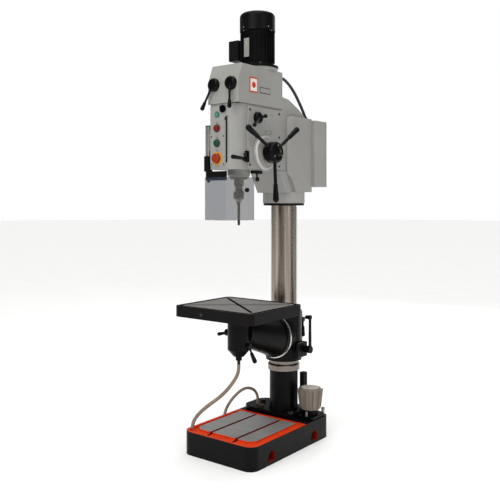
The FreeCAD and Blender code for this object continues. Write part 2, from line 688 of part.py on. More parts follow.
def fan_cover():
    outer = cyl(0, MOTOR_Y, 1880, 81, 85)
    outer = outer.makeFillet(20, [e for e in outer.Edges if e.CenterOfMass.z > 1960])
    inner = cyl(0, MOTOR_Y, 1878, 78.5, 84.5)
    inner = inner.makeFillet(18, [e for e in inner.Edges if e.CenterOfMass.z > 1960])
    shell = outer.cut(inner)
    slots = [turned(box(24, 54, MOTOR_Y - 2.5, MOTOR_Y + 2.5, 1955, 1970), "z", a, (0, MOTOR_Y, 0))
             for a in range(0, 360, 20)]
    return shell.cut(Part.makeCompound(slots)).cut(cyl(0, MOTOR_Y, 1955, 12, 20))


def motor_rotor():
    pinion = moved(spur_gear(MOTOR_TEETH, DRIVE_MODULE, 26, 0), 0, MOTOR_Y, 1594)
    shaft = cyl(0, MOTOR_Y, 1590, 14, 325)
    core = cyl(0, MOTOR_Y, 1740, 17.5, 120)
    return group(fuse(pinion, shaft, core), cooling_fan())


def cooling_fan():
    hub = ring(0, MOTOR_Y, 1890, 14 + FIT, 24, 24)
    disc = ring(0, MOTOR_Y, 1890, 24, 68, 3)
    blades = [turned(box(22, 68, MOTOR_Y - 1.2, MOTOR_Y + 1.2, 1892, 1922), "z", a, (0, MOTOR_Y, 0))
              for a in range(0, 360, 45)]
    return fuse(hub, disc, *blades)


def layshaft():
    x, y = lay_place()
    large_phase = mesh_phase(LAY_LARGE, (x, y), MOTOR_TEETH, (0, MOTOR_Y), 0)
    large = moved(spur_gear(LAY_LARGE, DRIVE_MODULE, 22, large_phase), x, y, 1596)
    small = moved(spur_gear(LAY_SMALL, DRIVE_MODULE, 30, 0), x, y, 1540)
    return fuse(large, small, cyl(x, y, 1533, 10, 160))


def spindle_drive_gear():
    phase = mesh_phase(DRIVE_TEETH, (0, SPINDLE_Y), LAY_SMALL, lay_place(), 0)
    gear = moved(spur_gear(DRIVE_TEETH, DRIVE_MODULE, 26, phase), 0, SPINDLE_Y, 1542)
    sleeve = cyl(0, SPINDLE_Y, 1500, 22, 74)
    return fuse(gear, sleeve).cut(cyl(0, SPINDLE_Y, 1490, 12 + FIT, 100))


# Quill, spindle and chuck

def quill():
    body = fuse(cyl(0, SPINDLE_Y, 1206, QUILL_R, QUILL_TOP - 1206),
                cyl(0, SPINDLE_Y, QUILL_LOW, 22, 1206 - QUILL_LOW))
    for z in (1182, 1190, 1198):
        body = body.cut(ring(0, SPINDLE_Y, z, 20.4, 30, 3))
    pitch = math.pi * TOOTH_MODULE
    teeth = rack_profile(26, FEED_Z - 3 * pitch, QUILL_R - TOOTH_MODULE, 0)
    low, high = FEED_Z - 3.5 * pitch, FEED_Z + 22.5 * pitch
    keep = yz_prism([(SPINDLE_Y + depth, z) for depth, z in teeth], -14, 14)
    groove = box(-14, 14, SPINDLE_Y + QUILL_R - 2.2 * TOOTH_MODULE, SPINDLE_Y + 50, low, high)
    body = body.cut(groove.cut(keep))
    return body.cut(cyl(0, SPINDLE_Y, 1170, 17 + FIT, 300))


def depth_pointer():
    """Finger on the quill that shows the depth through the front slot."""
    collar = ring(0, SPINDLE_Y, QUILL_TOP, 17.5, 30, 8)
    finger = box(15.2, 18.8, -456, SPINDLE_Y - 14, QUILL_TOP + 1, QUILL_TOP + 7)
    tab = box(11, 23, -456, -453.8, QUILL_TOP - 4, QUILL_TOP + 7)
    return fuse(collar, finger.cut(cyl(0, SPINDLE_Y, 1440, 17.5, 60)), tab)


def spindle():
    return fuse(cyl(0, SPINDLE_Y, 1125, 9, 30), cyl(0, SPINDLE_Y, 1155, 16, 22),
                cyl(0, SPINDLE_Y, QUILL_LOW, 17, QUILL_TOP + 8 - QUILL_LOW),
                cyl(0, SPINDLE_Y, QUILL_TOP, 12, 1688 - QUILL_TOP))


def chuck_body():
    core = cyl(0, SPINDLE_Y, 1121, 18, 34).cut(cyl(0, SPINDLE_Y, 1124, 9 + FIT, 40))
    nose = cone(0, SPINDLE_Y, 1106, 10.5, 18, 15)
    jaws = [turned(box(6.3, 9.8, SPINDLE_Y - 2.5, SPINDLE_Y + 2.5, 1098, 1107), "z", a,
                   (0, SPINDLE_Y, 0)) for a in (90, 210, 330)]
    return fuse(core, nose, *jaws).cut(cyl(0, SPINDLE_Y, 1090, 6 + FIT, 31))


def chuck_sleeve():
    body = ring(0, SPINDLE_Y, 1120.5, 18 + FIT, 23.4, 33)
    for z in (1128, 1146):
        body = body.cut(ring(0, SPINDLE_Y, z, 22.2, 25, 2.5))
    flutes = [turned(cyl(24.6, SPINDLE_Y, 1130.5, 1.9, 15.5), "z", a, (0, SPINDLE_Y, 0))
              for a in range(0, 360, 15)]
    return body.cut(Part.makeCompound(flutes))


def drill_bit():
    shank = cyl(0, SPINDLE_Y, 1072, 6, 48)
    point = cone(0, SPINDLE_Y, 1003, 0.3, 6, 3.5)
    body = fuse(cyl(0, SPINDLE_Y, 1006.5, 6, 66), point)
    for step in range(16):
        z = 1004 + step * 4.2
        flute = rod((-4.6, SPINDLE_Y, 0), (-4.6, SPINDLE_Y, 6.5), 2.6)
        for half in (0, 180):
            cutter = turned(moved(flute, 0, 0, z), "z", half + step * 34, (0, SPINDLE_Y, 0))
            body = body.cut(cutter)
    return fuse(body, shank)


# Feed handle

def feed_shaft():
    gear = turned(spur_gear(FEED_TEETH, TOOTH_MODULE, 24, 0), "y", 90)
    gear = turned(moved(gear, -12, FEED_Y, FEED_Z), "x", 180.0 / FEED_TEETH, (0, FEED_Y, FEED_Z))
    return fuse(gear, cyl(-75, FEED_Y, FEED_Z, 14, 225, "x"))


def feed_dial():
    body = cyl(COVER_X + 0.3, FEED_Y, FEED_Z, 76, 20, "x")
    body = body.makeFillet(9, [e for e in body.Edges if e.CenterOfMass.x > COVER_X + 19])
    return body.cut(cyl(80, FEED_Y, FEED_Z, 14 + FIT, 40, "x"))


def spoke_way(index):
    angle = math.radians(33 + 120 * index)
    return math.cos(angle), math.sin(angle)


def feed_hub():
    """Hub with its three spokes screwed in."""
    spokes = []
    neck = cyl(COVER_X + 20.3, FEED_Y, FEED_Z, 34, 19, "x")
    barrel = cyl(122, FEED_Y, FEED_Z, 47, 42, "x")
    barrel = barrel.makeFillet(13, [e for e in barrel.Edges if e.CenterOfMass.x > 163])
    body = fuse(neck, barrel).cut(cyl(100, FEED_Y, FEED_Z, 14 + FIT, 50.2, "x"))
    for index in range(3):
        c, s = spoke_way(index)
        hole = rod((143, FEED_Y + 30 * c, FEED_Z + 30 * s), (143, FEED_Y + 60 * c, FEED_Z + 60 * s), 7.5)
        body = body.cut(hole)
        spokes.append(rod((143, FEED_Y + 30 * c, FEED_Z + 30 * s),
                          (143, FEED_Y + 142 * c, FEED_Z + 142 * s), 7.5))
    return group(body, *spokes)


def feed_grips():
    grips = []
    for index in range(3):
        c, s = spoke_way(index)
        near = (143, FEED_Y + 142 * c, FEED_Z + 142 * s)
        far = (143, FEED_Y + 206 * c, FEED_Z + 206 * s)
        grip = fuse(rod(near, far, 9.5, 13.5), ball(*far, 13.5))
        grips.append(grip)
    return group(*grips)


# Chuck guard

def guard_post():
    post = rounded_box(GUARD_X - 11, GUARD_X + 11, GUARD_Y - 11, GUARD_Y + 11, 1307, 1437, 3)
    lug = box(GUARD_X + 11, -HEAD_X, GUARD_Y - 8, GUARD_Y + 8, 1330, 1420)
    return fuse(post, lug)


def guard_holder():
    block = rounded_box(GUARD_X - 18, GUARD_X + 13, GUARD_Y - 16, GUARD_Y + 16, 1240, 1307, 9)
    pin = cyl(GUARD_X, GUARD_Y, 1192, 6, 48)
    cap = rounded_box(GUARD_X - 11, GUARD_X + 11, GUARD_Y - 11, GUARD_Y + 11, 1437, 1441, 3)
    return group(fuse(block, pin), cap)


def guard_arm():
    knuckle = cyl(GUARD_X, GUARD_Y, 1204, 13, 35.6)
    bar = box(GUARD_X, 20, -458, -450, 1200, 1239.6)
    knob = fuse(rod((73, -390.7, 1158), (84, -396.9, 1158), 4), ball(90, -400.3, 1158, 10))
    body = fuse(knuckle, bar).cut(cyl(GUARD_X, GUARD_Y, 1190, 6 + FIT, 60))
    return group(body, knob)


def guard_panel():
    outline = [(-95, -462.2), (22, -462.2), (87, -346.8), (83.5, -344.8), (19.7, -458.2), (-95, -458.2)]
    return polygon_prism([(x, y, 1028) for x, y in outline], (0, 0, 186))


PARTS = [
    base_casting, column_foot, fixing_screws, column, rack_ring_lower, rack_ring_upper,
    pump_mount, pump_can, pump_switch_box, hose_unions, return_hose, drain_hose, motor_cable,
    table_rack, table_bracket, clamp_bolts, bracket_clamp_lever, tilt_scale_ring, lift_pinion,
    crank, crank_grip, table_arm, table_clamp_lever, tilt_lock_lever, table,
    head_casting, head_cover, feed_box_cover, control_plate, start_button, stop_button,
    estop_button, signal_lamp, power_switch_knob, speed_lever_left, speed_lever_right,
    feed_selector_lever, quill_lock_lever, electrical_cabinet, cabinet_door,
    motor_housing, motor_terminal_box, fan_cover, motor_rotor, layshaft, spindle_drive_gear,
    quill, depth_pointer, spindle, chuck_body, chuck_sleeve, drill_bit,
    feed_shaft, feed_dial, feed_hub, feed_grips, guard_post, guard_holder, guard_arm, guard_panel,
]


def main():
    os.makedirs("parts", exist_ok=True)
    for make in PARTS:
        shape = make()
        if not shape.isValid():
            print("INVALID", make.__name__)
        shape.exportStep("parts/" + make.__name__ + ".step")
        print(make.__name__, len(shape.Solids), round(shape.Volume / 1000.0, 1), "cm3")


main()
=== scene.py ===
import math

import bmesh
import bpy
from mathutils import Matrix, Vector


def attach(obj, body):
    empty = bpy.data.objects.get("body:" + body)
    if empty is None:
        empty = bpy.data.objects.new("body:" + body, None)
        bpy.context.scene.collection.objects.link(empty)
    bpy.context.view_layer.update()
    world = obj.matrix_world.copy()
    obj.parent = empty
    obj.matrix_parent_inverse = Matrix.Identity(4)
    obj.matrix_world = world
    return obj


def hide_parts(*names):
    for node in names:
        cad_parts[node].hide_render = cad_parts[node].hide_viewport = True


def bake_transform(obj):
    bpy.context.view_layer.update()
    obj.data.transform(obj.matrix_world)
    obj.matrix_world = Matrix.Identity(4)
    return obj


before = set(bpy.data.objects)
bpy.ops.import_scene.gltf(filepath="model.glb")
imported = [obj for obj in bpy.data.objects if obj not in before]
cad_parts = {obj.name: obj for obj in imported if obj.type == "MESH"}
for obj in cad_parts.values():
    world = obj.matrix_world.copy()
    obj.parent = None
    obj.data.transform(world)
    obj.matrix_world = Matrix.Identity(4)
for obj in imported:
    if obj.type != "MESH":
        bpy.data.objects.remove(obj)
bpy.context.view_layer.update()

# Places on the machine, in metres
SPINDLE_Y = -0.345
MOTOR_Y = -0.208
FEED = (-0.274, 1.323)  # Y and Z of the feed hub's axis
PUMP_X, PUMP_Y = 0.143, 0.012
PANEL_X = -0.033
PANEL_FACE = -0.453
DEPTH_FACE = -0.4495
SIDE_FACE = 0.084
HUB_FACE = 0.1638
TILT_Z = 0.478

UP = (0, 0, 1)
FRONT = (0, -1, 0)
RIGHT = (1, 0, 0)


# Camera

LENS_MM = 50.4
SENSOR_MM = 36.0
LENS_SHIFT = -0.097
CAMERA_PLACE = (1.932, -2.755, 1.109)
CAMERA_HEADING = 37.8


def aim_camera():
    """A level camera, shifted so that the machine's verticals stay upright."""
    data = bpy.data.cameras.new("camera")
    data.lens = LENS_MM
    data.sensor_width = SENSOR_MM
    data.shift_y = LENS_SHIFT
    camera = bpy.data.objects.new("camera", data)
    camera.location = CAMERA_PLACE
    camera.rotation_euler = (math.radians(90), 0, math.radians(CAMERA_HEADING))
    bpy.context.scene.collection.objects.link(camera)
    bpy.context.scene.camera = camera


aim_camera()


# Materials

GLOSS_RANGE = (0.3, 0.7)
RELIEF_STRENGTH = 0.6
BEVEL_SAMPLES = 4
ENAMEL_ORANGE = (0.66, 0.048, 0.008)
WORN_ORANGE = (0.5, 0.034, 0.006)
ENAMEL_BLACK = (0.0022, 0.002, 0.002)
RIM_CHANGE_Y = -0.1
RIM_CHANGE_HALF = 0.0003


class Surface:
    """A principled material whose colour, roughness and relief come from noise."""

    def __init__(self, name, colour, roughness, metallic=0.0, **sockets):
        self.material = bpy.data.materials.new(name)
        self.material.use_nodes = True
        self.tree = self.material.node_tree
        self.shader = self.tree.nodes["Principled BSDF"]
        self.colour = colour
        self.shader.inputs["Base Color"].default_value = (*colour, 1)
        self.shader.inputs["Roughness"].default_value = roughness
        self.shader.inputs["Metallic"].default_value = metallic
        for socket, value in sockets.items():
            self.shader.inputs[socket.replace("_", " ")].default_value = value
        self.place = self.tree.nodes.new("ShaderNodeTexCoord").outputs["Object"]
        self.normal = None

    def node(self, kind, **values):
        made = self.tree.nodes.new(kind)
        for key, value in values.items():
            setattr(made, key, value)
        return made

    def link(self, source, target):
        self.tree.links.new(source, target)

    def stretched(self, scale):
        """Object coordinates scaled along each axis."""
        mapping = self.node("ShaderNodeMapping")
        mapping.inputs["Scale"].default_value = scale
        self.link(self.place, mapping.inputs["Vector"])
        return mapping.outputs["Vector"]

    def noise(self, scale, detail=4.0, stretch=None, rough=0.5):
        texture = self.node("ShaderNodeTexNoise")
        texture.inputs["Scale"].default_value = scale
        texture.inputs["Detail"].default_value = detail
        texture.inputs["Roughness"].default_value = rough
        where = self.stretched(stretch) if stretch else self.place
        self.link(where, texture.inputs["Vector"])
        return texture.outputs["Fac"]

    def ramp(self, value, low, high, start=0.0, end=1.0):
        """Maps a value from low..high to start..end."""
        ramp = self.node("ShaderNodeMapRange")
        ramp.inputs["From Min"].default_value = low
        ramp.inputs["From Max"].default_value = high
        ramp.inputs["To Min"].default_value = start
        ramp.inputs["To Max"].default_value = end
        self.link(value, ramp.inputs["Value"])
        return ramp.outputs["Result"]

    def shift(self, other, factor):
        """Mixes another colour over the present one."""
        mix = self.node("ShaderNodeMix", data_type="RGBA")
        colour = self.shader.inputs["Base Color"]
        if colour.is_linked:
            self.link(colour.links[0].from_socket, mix.inputs["A"])
        else:
            mix.inputs["A"].default_value = (*self.colour, 1)
        mix.inputs["B"].default_value = (*other, 1)
        self.link(factor, mix.inputs["Factor"])
        self.link(mix.outputs["Result"], colour)
        return self

    def mottle(self, other, scale, low=0.4, high=0.65, **noise):
        """Shifts the colour towards another one in patches."""
        return self.shift(other, self.ramp(self.noise(scale, **noise), low, high))

    def gloss(self, low, high, scale, **noise):
        """Varies the roughness between two values."""
        rough = self.ramp(self.noise(scale, **noise), *GLOSS_RANGE, low, high)
        self.link(rough, self.shader.inputs["Roughness"])
        return self

    def rounded(self, radius):
        """Softens the light on hard edges."""
        bevel = self.node("ShaderNodeBevel", samples=BEVEL_SAMPLES)
        bevel.inputs["Radius"].default_value = radius
        self.normal = bevel.outputs["Normal"]
        self.link(self.normal, self.shader.inputs["Normal"])
        return self

    def relief(self, depth, scale, **noise):
        """Fine bumps over the whole surface."""
        bump = self.node("ShaderNodeBump")
        bump.inputs["Distance"].default_value = depth
        bump.inputs["Strength"].default_value = RELIEF_STRENGTH
        self.link(self.noise(scale, **noise), bump.inputs["Height"])
        if self.normal is not None:
            self.link(self.normal, bump.inputs["Normal"])
        self.normal = bump.outputs["Normal"]
        self.link(self.normal, self.shader.inputs["Normal"])
        return self


def grey_enamel():
    surface = Surface("grey_enamel", (0.3, 0.298, 0.283), 0.42, Specular_IOR_Level=0.3)
    surface.mottle((0.272, 0.27, 0.255), 6.0, low=0.45, high=0.75)
    surface.gloss(0.36, 0.5, 30.0).rounded(0.0022)
    return surface.relief(0.0006, 320.0, detail=2.0).material


def black_enamel(name="black_enamel", roughness=(0.26, 0.42)):
    surface = Surface(name, ENAMEL_BLACK, 0.34, Specular_IOR_Level=0.1)
    surface.mottle((0.0055, 0.0042, 0.0036), 9.0, low=0.5, high=0.8)
    surface.gloss(*roughness, 24.0).rounded(0.002)
    return surface.relief(0.0007, 240.0, detail=2.5).material


def matte_black():
    surface = Surface("matte_black", (0.002, 0.002, 0.002), 0.6, Specular_IOR_Level=0.08)
    surface.mottle((0.0045, 0.0042, 0.004), 18.0).gloss(0.5, 0.68, 40.0).rounded(0.001)
    return surface.relief(0.0005, 420.0).material


def orange_enamel(name="orange_enamel", colour=ENAMEL_ORANGE, worn=WORN_ORANGE, black_behind=False):
    """Orange paint, which can turn black behind the gutter."""
    surface = Surface(name, colour, 0.36, Specular_IOR_Level=0.15)
    surface.mottle(worn, 14.0, low=0.5, high=0.75)
    if black_behind:
        split = surface.node("ShaderNodeSeparateXYZ")
        surface.link(surface.place, split.inputs["Vector"])
        surface.shift(ENAMEL_BLACK, surface.ramp(split.outputs["Y"], RIM_CHANGE_Y - RIM_CHANGE_HALF,
                                                 RIM_CHANGE_Y + RIM_CHANGE_HALF))
    surface.gloss(0.28, 0.45, 30.0)
    return surface.relief(0.0006, 260.0, detail=2.0).material


def machined(name, colour, worn, stretch):
    """Milled steel, with cutter lines along the axis whose scale is smallest."""
    surface = Surface(name, colour, 0.42, 0.55)
    surface.mottle(worn, 1.0, low=0.35, high=0.7, detail=6.0, stretch=stretch)
    surface.mottle(tuple(c * 0.72 for c in colour), 7.0, low=0.58, high=0.85)
    surface.gloss(0.34, 0.55, 1.0, stretch=stretch)
    return surface.relief(0.0002, 1.0, stretch=stretch).material


def column_steel():
    """Ground steel with long grinding streaks; its brown tint and its bright and brown streaks are
    painted reflections of the surroundings.
    """
    # The brown tint and the brown streaks are painted reflections of brown surroundings.
    surface = Surface("column_steel", (0.33, 0.285, 0.245), 0.24, 0.9)
    surface.mottle((0.15, 0.115, 0.088), 1.0, low=0.42, high=0.6, detail=3.0,
                   stretch=(34, 34, 0.9))
    # The bright streaks are painted highlight bands.
    surface.mottle((0.5, 0.465, 0.425), 1.0, low=0.54, high=0.74, detail=2.0,
                   stretch=(55, 55, 0.5))
    surface.gloss(0.18, 0.36, 1.0, stretch=(60, 60, 2))
    return surface.relief(0.00015, 1.0, stretch=(20, 20, 900)).material


def steel(name, colour, low, high, scale=60.0):
    surface = Surface(name, colour, low, 1.0)
    surface.mottle(tuple(c * 0.8 for c in colour), scale, low=0.45, high=0.8)
    surface.gloss(low, high, scale * 2).rounded(0.0006)
    return surface.relief(0.0001, scale * 12).material


def dial_aluminium():
    surface = Surface("dial_aluminium", (0.5, 0.49, 0.47), 0.45, 0.45)
    surface.mottle((0.4, 0.39, 0.37), 30.0, low=0.45, high=0.8)
    surface.gloss(0.38, 0.55, 90.0).rounded(0.0008)
    return surface.relief(0.0001, 700.0).material


def moulding(name, colour, roughness=0.3, coat=0.0):
    surface = Surface(name, colour, roughness, Coat_Weight=coat, Specular_IOR_Level=0.08)
    surface.mottle(tuple(c * 1.4 + 0.001 for c in colour), 40.0, low=0.55, high=0.9)
    surface.gloss(roughness * 0.8, roughness * 1.3, 60.0).rounded(0.001)
    return surface.relief(0.0003, 500.0).material


def hose_rubber(name, colour, worn):
    surface = Surface(name, colour, 0.45)
    surface.mottle(worn, 30.0, low=0.45, high=0.7).gloss(0.36, 0.55, 80.0)
    return surface.relief(0.0004, 260.0).material


def clear_sheet():
    """The guard's smoky see-through plastic."""
    surface = Surface("clear_sheet", (0.06, 0.056, 0.048), 0.06, Alpha=0.48, IOR=1.49)
    surface.mottle((0.028, 0.042, 0.066), 1.0, low=0.42, high=0.62, detail=2.0,
                   stretch=(26, 26, 1.2))
    surface.gloss(0.04, 0.12, 12.0)
    return surface.relief(0.0005, 7.0, detail=1.0).material


def lamp_lens():
    surface = Surface("lamp_lens", (0.012, 0.17, 0.12), 0.18, Coat_Weight=0.3)
    surface.shader.inputs["Emission Color"].default_value = (0.02, 0.6, 0.38, 1)
    surface.shader.inputs["Emission Strength"].default_value = 0.05
    surface.mottle((0.02, 0.24, 0.17), 140.0)
    return surface.relief(0.0005, 300.0).material


GREY = grey_enamel()
BLACK = black_enamel()
DEEP_BLACK = black_enamel("deep_black_enamel", (0.3, 0.5))
MATTE = matte_black()
ORANGE = orange_enamel()
# Dark red for the slot walls and recesses: painted shade inside the orange-painted hollows.
SLOT_SHADE = orange_enamel("slot_painted_shade", (0.2, 0.014, 0.006), (0.1, 0.008, 0.004))
RIM = orange_enamel("rim_enamel", black_behind=True)
TABLE_FACE = machined("table_face", (0.3, 0.292, 0.28), (0.22, 0.213, 0.203), (160, 9, 160))
BASE_FACE = machined("base_face", (0.4, 0.398, 0.39), (0.27, 0.27, 0.262), (9, 160, 160))
COLUMN = column_steel()
STEEL = steel("ground_steel", (0.38, 0.365, 0.345), 0.22, 0.38)
# Chrome darkened to brown: a painted reflection of dark brown surroundings.
CHROME_BROWN_REFLECTION = steel("chrome_painted_brown_reflection", (0.2, 0.175, 0.155), 0.1, 0.22)
BAND = steel("tilt_band", (0.6, 0.585, 0.56), 0.2, 0.34)
ALUMINIUM = steel("post_aluminium", (0.42, 0.42, 0.41), 0.3, 0.45)
CHUCK = steel("chuck_steel", (0.42, 0.405, 0.38), 0.2, 0.34)
ZINC = steel("zinc", (0.3, 0.29, 0.27), 0.3, 0.45)
PLATE = moulding("plate_grey", (0.3, 0.295, 0.28), 0.45)
DARK_STEEL = steel("dark_steel", (0.06, 0.058, 0.055), 0.3, 0.45)
DIAL = dial_aluminium()
PUMP = moulding("pump_enamel", (0.2, 0.172, 0.143), 0.36)
# A lighter colour for the pump's top: a painted highlight where light falls on it.
PUMP_TOP_HIGHLIGHT = moulding("pump_cap_painted_highlight", (0.42, 0.4, 0.37), 0.34)
BLACK_PLASTIC = moulding("black_plastic", (0.0025, 0.0025, 0.0027), 0.2, 0.05)
BOX_PLASTIC = moulding("box_plastic", (0.006, 0.0055, 0.005), 0.5)
RED = moulding("red_plastic", (0.16, 0.012, 0.009), 0.28, 0.3)
ESTOP_RED = moulding("estop_red", (0.27, 0.028, 0.01), 0.26, 0.3)
GREEN = moulding("green_plastic", (0.006, 0.06, 0.022), 0.3, 0.3)
YELLOW = moulding("yellow_plastic", (0.6, 0.28, 0.015), 0.34)
BADGE_RED = moulding("badge_red", (0.5, 0.05, 0.025), 0.35)
BADGE_WHITE = moulding("badge_white", (0.74, 0.72, 0.66), 0.4)
INK = moulding("ink", (0.02, 0.02, 0.02), 0.5)
HOSE = hose_rubber("hose", (0.24, 0.185, 0.135), (0.17, 0.13, 0.095))
CABLE = hose_rubber("cable", (0.008, 0.008, 0.009), (0.018, 0.017, 0.016))
CLEAR = clear_sheet()
LENS = lamp_lens()

NODE_LOOKS = {
    GREY: "head_cover feed_box_cover control_plate electrical_cabinet cabinet_door",
    BLACK: "column_foot table_bracket table_arm pump_mount",
    DEEP_BLACK: "rack_ring_upper crank guard_holder guard_arm fan_cover",
    ALUMINIUM: "guard_post",
    BAND: "tilt_scale_ring",
    MATTE: "motor_housing",
    COLUMN: "column",
    STEEL: "table_rack quill spindle spindle_drive_gear layshaft lift_pinion feed_shaft "
           "motor_rotor",
    CHROME_BROWN_REFLECTION: "rack_ring_lower",
    CHUCK: "chuck_body",
    ZINC: "hose_unions",
    DARK_STEEL: "fixing_screws clamp_bolts drill_bit depth_pointer",
    DIAL: "feed_dial",
    PUMP: "pump_can",
    BLACK_PLASTIC: "bracket_clamp_lever crank_grip table_clamp_lever tilt_lock_lever "
                   "speed_lever_left speed_lever_right feed_selector_lever quill_lock_lever "
                   "feed_grips feed_hub power_switch_knob",
    BOX_PLASTIC: "pump_switch_box motor_terminal_box",
    RED: "stop_button",
    ESTOP_RED: "estop_button",
    GREEN: "start_button",
    LENS: "signal_lamp",
    CLEAR: "guard_panel",
    HOSE: "return_hose drain_hose",
    CABLE: "motor_cable",
}


def dress(node, materials, choose=None):
    """Gives a CAD node its materials, and each face the slot its centre and normal call for."""
    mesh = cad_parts[node].data
    mesh.materials.clear()
    for material in materials:
        mesh.materials.append(material)
    if choose:
        for face in mesh.polygons:
            face.material_index = choose(face.center, face.normal)


# Limits that tell one region of a casting from another
SLOT_XS = (-0.075, 0.065)
SLOT_HALF = 0.0135
SLOT_LEDGE_Z = 0.0935
RECESS_YS = (-0.365, -0.035)
RECESS_HALF = 0.0265
RECESS_X = (0.1495, 0.1945)
RECESS_Z = (0.0135, 0.0585)
GUTTER_HALF_X = 0.1825
GUTTER_Y = (-0.488, -0.0995)
GUTTER_Z = 0.077
PAD_X = (-0.1695, 0.1505)
PAD_Y = (-0.4435, -0.1175)
BASE_TOP_Z = 0.1015
DEPTH_SLOT_X, DEPTH_SLOT_HALF = 0.017, 0.0042
DEPTH_SLOT_Y = (-0.4499, -0.435)
DEPTH_SLOT_Z = (1.2755, 1.4765)
TABLE_HALF = (0.191, 0.164)
TABLE_Y = -0.3455
TABLE_TOP_Z = 0.6525
SLEEVE_GROOVE_R = 0.0231


def near_one(value, places, reach):
    return min(abs(value - place) for place in places) < reach


def between(value, ends):
    return ends[0] < value < ends[1]


def in_slot(centre, normal):
    wall = abs(normal.z) < 0.5 and abs(normal.y) < 0.5
    return near_one(centre.x, SLOT_XS, SLOT_HALF) and (wall or centre.z < SLOT_LEDGE_Z)


def in_recess(centre):
    inside = between(abs(centre.x), RECESS_X) and between(centre.z, RECESS_Z)
    return inside and near_one(centre.y, RECESS_YS, RECESS_HALF)


def base_look(centre, normal):
    """0 black outside, 1 machined pad, 2 orange gutter, 3 painted shade in the slots and recesses,
    4 rim.
    """
    inside = abs(centre.x) < GUTTER_HALF_X and between(centre.y, GUTTER_Y)
    pad = between(centre.x, PAD_X) and between(centre.y, PAD_Y)
    top = normal.z > 0.9 and centre.z > BASE_TOP_Z
    # Recesses and slot walls take the dark red painted shade.
    if in_recess(centre):
        return 3
    if pad and top:
        return 1
    if centre.z > GUTTER_Z and inside:
        return 3 if in_slot(centre, normal) and not top else 2
    return 4 if top else 0


def head_look(centre, normal):
    """1 inside the depth slot, made matte black as painted shade."""
    across = abs(centre.x - DEPTH_SLOT_X) < DEPTH_SLOT_HALF
    return int(across and between(centre.y, DEPTH_SLOT_Y) and between(centre.z, DEPTH_SLOT_Z))


def sleeve_look(centre, normal):
    """1 in the grooves and flutes, dark steel as painted shade."""
    return int(math.hypot(centre.x, centre.y - SPINDLE_Y) < SLEEVE_GROOVE_R)


def table_look(centre, normal):
    """1 on the machined top."""
    flat = normal.z > 0.9 and centre.z > TABLE_TOP_Z
    inner = abs(centre.x) < TABLE_HALF[0] and abs(centre.y - TABLE_Y) < TABLE_HALF[1]
    return int(flat and inner)


for look, names in NODE_LOOKS.items():
    for name in names.split():
        dress(name, [look])
# Slot 3 is the painted shade in the slots and recesses.
dress("base_casting", [BLACK, BASE_FACE, ORANGE, SLOT_SHADE, RIM], base_look)
# Faces inside the depth slot take matte black as painted shade.
dress("head_casting", [GREY, MATTE], head_look)
# Faces in the sleeve's grooves and flutes take dark steel as painted shade.
dress("chuck_sleeve", [CHUCK, DARK_STEEL], sleeve_look)
dress("table", [BLACK, TABLE_FACE], table_look)


# Mesh helpers

WELD = 1e-7
BEVEL_ANGLE = 0.6
SMOOTH_ANGLE = math.radians(35)


def add_object(name, data, material=None):
    made = bpy.data.objects.new(name, data)
    bpy.context.scene.collection.objects.link(made)
    if material:
        data.materials.append(material)
    return made


def piece(name, mesh, body, material, smooth=True):
    made = add_object(name, mesh, material)
    if smooth:
        mesh.shade_smooth()
        mesh.set_sharp_from_angle(angle=SMOOTH_ANGLE)
    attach(made, body)


def mesh_of(build, bevel=0.0):
    work = bmesh.new()
    build(work)
    bmesh.ops.remove_doubles(work, verts=work.verts, dist=WELD)
    if bevel:
        hard = [edge for edge in work.edges
                if len(edge.link_faces) == 2 and edge.calc_face_angle() > BEVEL_ANGLE]
        bmesh.ops.bevel(work, geom=hard, offset=bevel, segments=2, affect="EDGES",
                        clamp_overlap=True)
    bmesh.ops.recalc_face_normals(work, faces=work.faces)
    mesh = bpy.data.meshes.new("mesh")
    work.to_mesh(mesh)
    work.free()
    return mesh


def add_slab(work, low, high):
    made = bmesh.ops.create_cube(work, size=1.0)
    size = [b - a for a, b in zip(low, high)]
    middle = [(a + b) / 2 for a, b in zip(low, high)]
    for vertex in made["verts"]:
        vertex.co = Vector(middle) + Vector(c * s for c, s in zip(vertex.co, size))


def slabs(name, boxes, bevel, body, material):
    """One piece made of bevelled blocks."""
    def build(work):
        for low, high in boxes:
            add_slab(work, low, high)
    piece(name, mesh_of(build, bevel), body, material)


def on_circle(radius, angle):
    return radius * math.cos(angle), radius * math.sin(angle)


def around(centre, radius, degrees):
    """Points on a circle, as pairs."""
    pairs = [on_circle(radius, math.radians(angle)) for angle in degrees]
    return [(centre[0] + across, centre[1] + along) for across, along in pairs]


def full_turn(steps):
    return [2 * math.pi * step / steps for step in range(steps)]


def add_skin(work, near, far):
    """Joins two rings of points with a band of faces."""
    for step in range(len(near)):
        after = (step + 1) % len(near)
        work.faces.new((near[step], near[after], far[after], far[step]))


def add_turning(work, profile, at, way, steps):
    """Turns a (radius, height) profile about a direction.

    A profile that starts at radius zero also ends there, and is closed by its two tips. Any
    other profile is a loop.
    """
    turn = Vector(UP).rotation_difference(Vector(way)).to_matrix()

    def point(x, y, z):
        return work.verts.new(Vector(at) + turn @ Vector((x, y, z)))

    solid = profile[0][0] == 0
    rings = [[point(*on_circle(radius, angle), height) for angle in full_turn(steps)]
             for radius, height in (profile[1:-1] if solid else profile)]
    for near, far in zip(rings, rings[1:] if solid else rings[1:] + rings[:1]):
        add_skin(work, near, far)
    if solid:
        for ring, height in ((rings[0][::-1], profile[0][1]), (rings[-1], profile[-1][1])):
            tip = point(0, 0, height)
            for step in range(steps):
                work.faces.new((tip, ring[step], ring[(step + 1) % steps]))


def turnings(name, profile, places, way, body, material, steps=48):
    """One piece made of the same turned shape at several places."""
    def build(work):
        for at in places:
            add_turning(work, profile, at, way, steps)
    piece(name, mesh_of(build), body, material)


